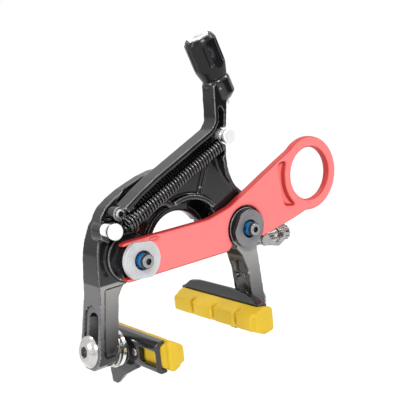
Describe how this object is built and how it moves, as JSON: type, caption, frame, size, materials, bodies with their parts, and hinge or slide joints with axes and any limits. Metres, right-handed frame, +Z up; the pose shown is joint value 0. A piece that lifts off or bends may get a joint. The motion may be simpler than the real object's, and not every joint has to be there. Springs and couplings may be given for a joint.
{
  "type": "direct mount caliper brake",
  "caption": "Rim brake caliper with two arms on separate frame bolts, a return spring, a barrel adjuster, sliding pad holders and a plastic brace with a finger ring",
  "frame": {"origin": "midway between the two mounting bolts, on the plane where the rear washers meet the bicycle frame", "axes": "+X towards the adjuster side, +Y away from the bicycle frame through the brake, +Z up towards the adjuster"},
  "size_m": [0.1364, 0.0576, 0.1397],
  "materials": {
    "arm_paint": "gloss",
    "holder_paint": "satin",
    "brace_plastic": "matte",
    "bright_steel": "polished",
    "washer_steel": "satin",
    "black_steel": "satin",
    "black_alloy": "gloss",
    "spring_wire": "satin",
    "roller_plastic": "gloss",
    "knob_plastic": "satin",
    "bright_alloy": "polished",
    "pad_rubber": "matte"
  },
  "bodies": {
    "mount": {"brace": "brace_plastic", "washer_left": "bright_steel", "washer_right": "washer_steel", "pivot_bolt_left": "black_steel", "pivot_bolt_right": "black_steel", "bushing_left": "black_alloy", "bushing_right": "black_alloy", "front_washer_left": "bright_steel", "front_washer_right": "bright_steel"},
    "left_side": {"arm_left": "arm_paint", "spring_post_left": "bright_steel", "centring_screw": "bright_steel", "anchor_bolt": "bright_steel", "anchor_sleeve": "bright_steel", "release_pin": "bright_steel", "return_spring": "spring_wire"},
    "lever": {"release_lever": "bright_steel"},
    "right_side": {"arm_right": "arm_paint", "spring_post_right": "bright_steel", "tail_pin": "bright_steel", "roller_pin": "bright_steel"},
    "roller": {"cam_roller": "roller_plastic"},
    "stop": {"housing_stop": "bright_alloy"},
    "knob": {"adjuster_knob": "knob_plastic"},
    "left_pad": {"pad_holder_left": "holder_paint", "brake_pad_left": "pad_rubber", "pad_screw_left": "bright_steel", "pad_bolt_left": "bright_steel", "convex_washer_left": "bright_steel", "concave_washer_left": "bright_steel"},
    "right_pad": {"pad_holder_right": "holder_paint", "brake_pad_right": "pad_rubber", "pad_screw_right": "bright_steel", "pad_bolt_right": "bright_steel", "convex_washer_right": "bright_steel", "concave_washer_right": "bright_steel"}
  },
  "joints": [
    {"name": "left_close", "type": "hinge", "parent": "mount", "child": "left_side", "pos_m": [-0.028, 0.016, 0], "axis": [0, -1, 0], "range_deg": [0, 7], "stiffness_Nm_per_rad": 0.6, "springref_deg": -20.05, "deforming": ["return_spring"]},
    {"name": "right_close", "type": "hinge", "parent": "mount", "child": "right_side", "pos_m": [0.028, 0.008, 0], "axis": [0, 1, 0], "range_deg": [0, 7], "stiffness_Nm_per_rad": 0.6, "springref_deg": -20.05},
    {"name": "knob_turn", "type": "hinge", "parent": "stop", "child": "knob", "pos_m": [0.016, 0.0072, 0.0824], "axis": [-0.359, 0, 0.9333], "range_deg": [0, 1441]},
    {"name": "stop_slide", "type": "slide", "parent": "right_side", "child": "stop", "axis": [-0.359, 0, 0.9333], "range_m": [0, 0.004]},
    {"name": "left_pad_slide", "type": "slide", "parent": "left_side", "child": "left_pad", "axis": [0.1822, 0, 0.9833], "range_m": [0, 0.008]},
    {"name": "right_pad_slide", "type": "slide", "parent": "right_side", "child": "right_pad", "axis": [-0.0785, 0, 0.9969], "range_m": [0, 0.008]},
    {"name": "lever_open", "type": "hinge", "parent": "left_side", "child": "lever", "pos_m": [0.0426, 0.0081, -0.0094], "axis": [0, 1, 0], "range_deg": [0, 60]},
    {"name": "roller_spin", "type": "hinge", "parent": "right_side", "child": "roller", "pos_m": [0, 0.016, 0.02], "axis": [0, 1, 0], "continuous": true}
  ],
  "couplings": [
    {"joint": "right_close", "follows": "left_close", "ratio": 1},
    {"joint": "knob_turn", "follows": "stop_slide", "rad_per_m": 6283.2}
  ]
}
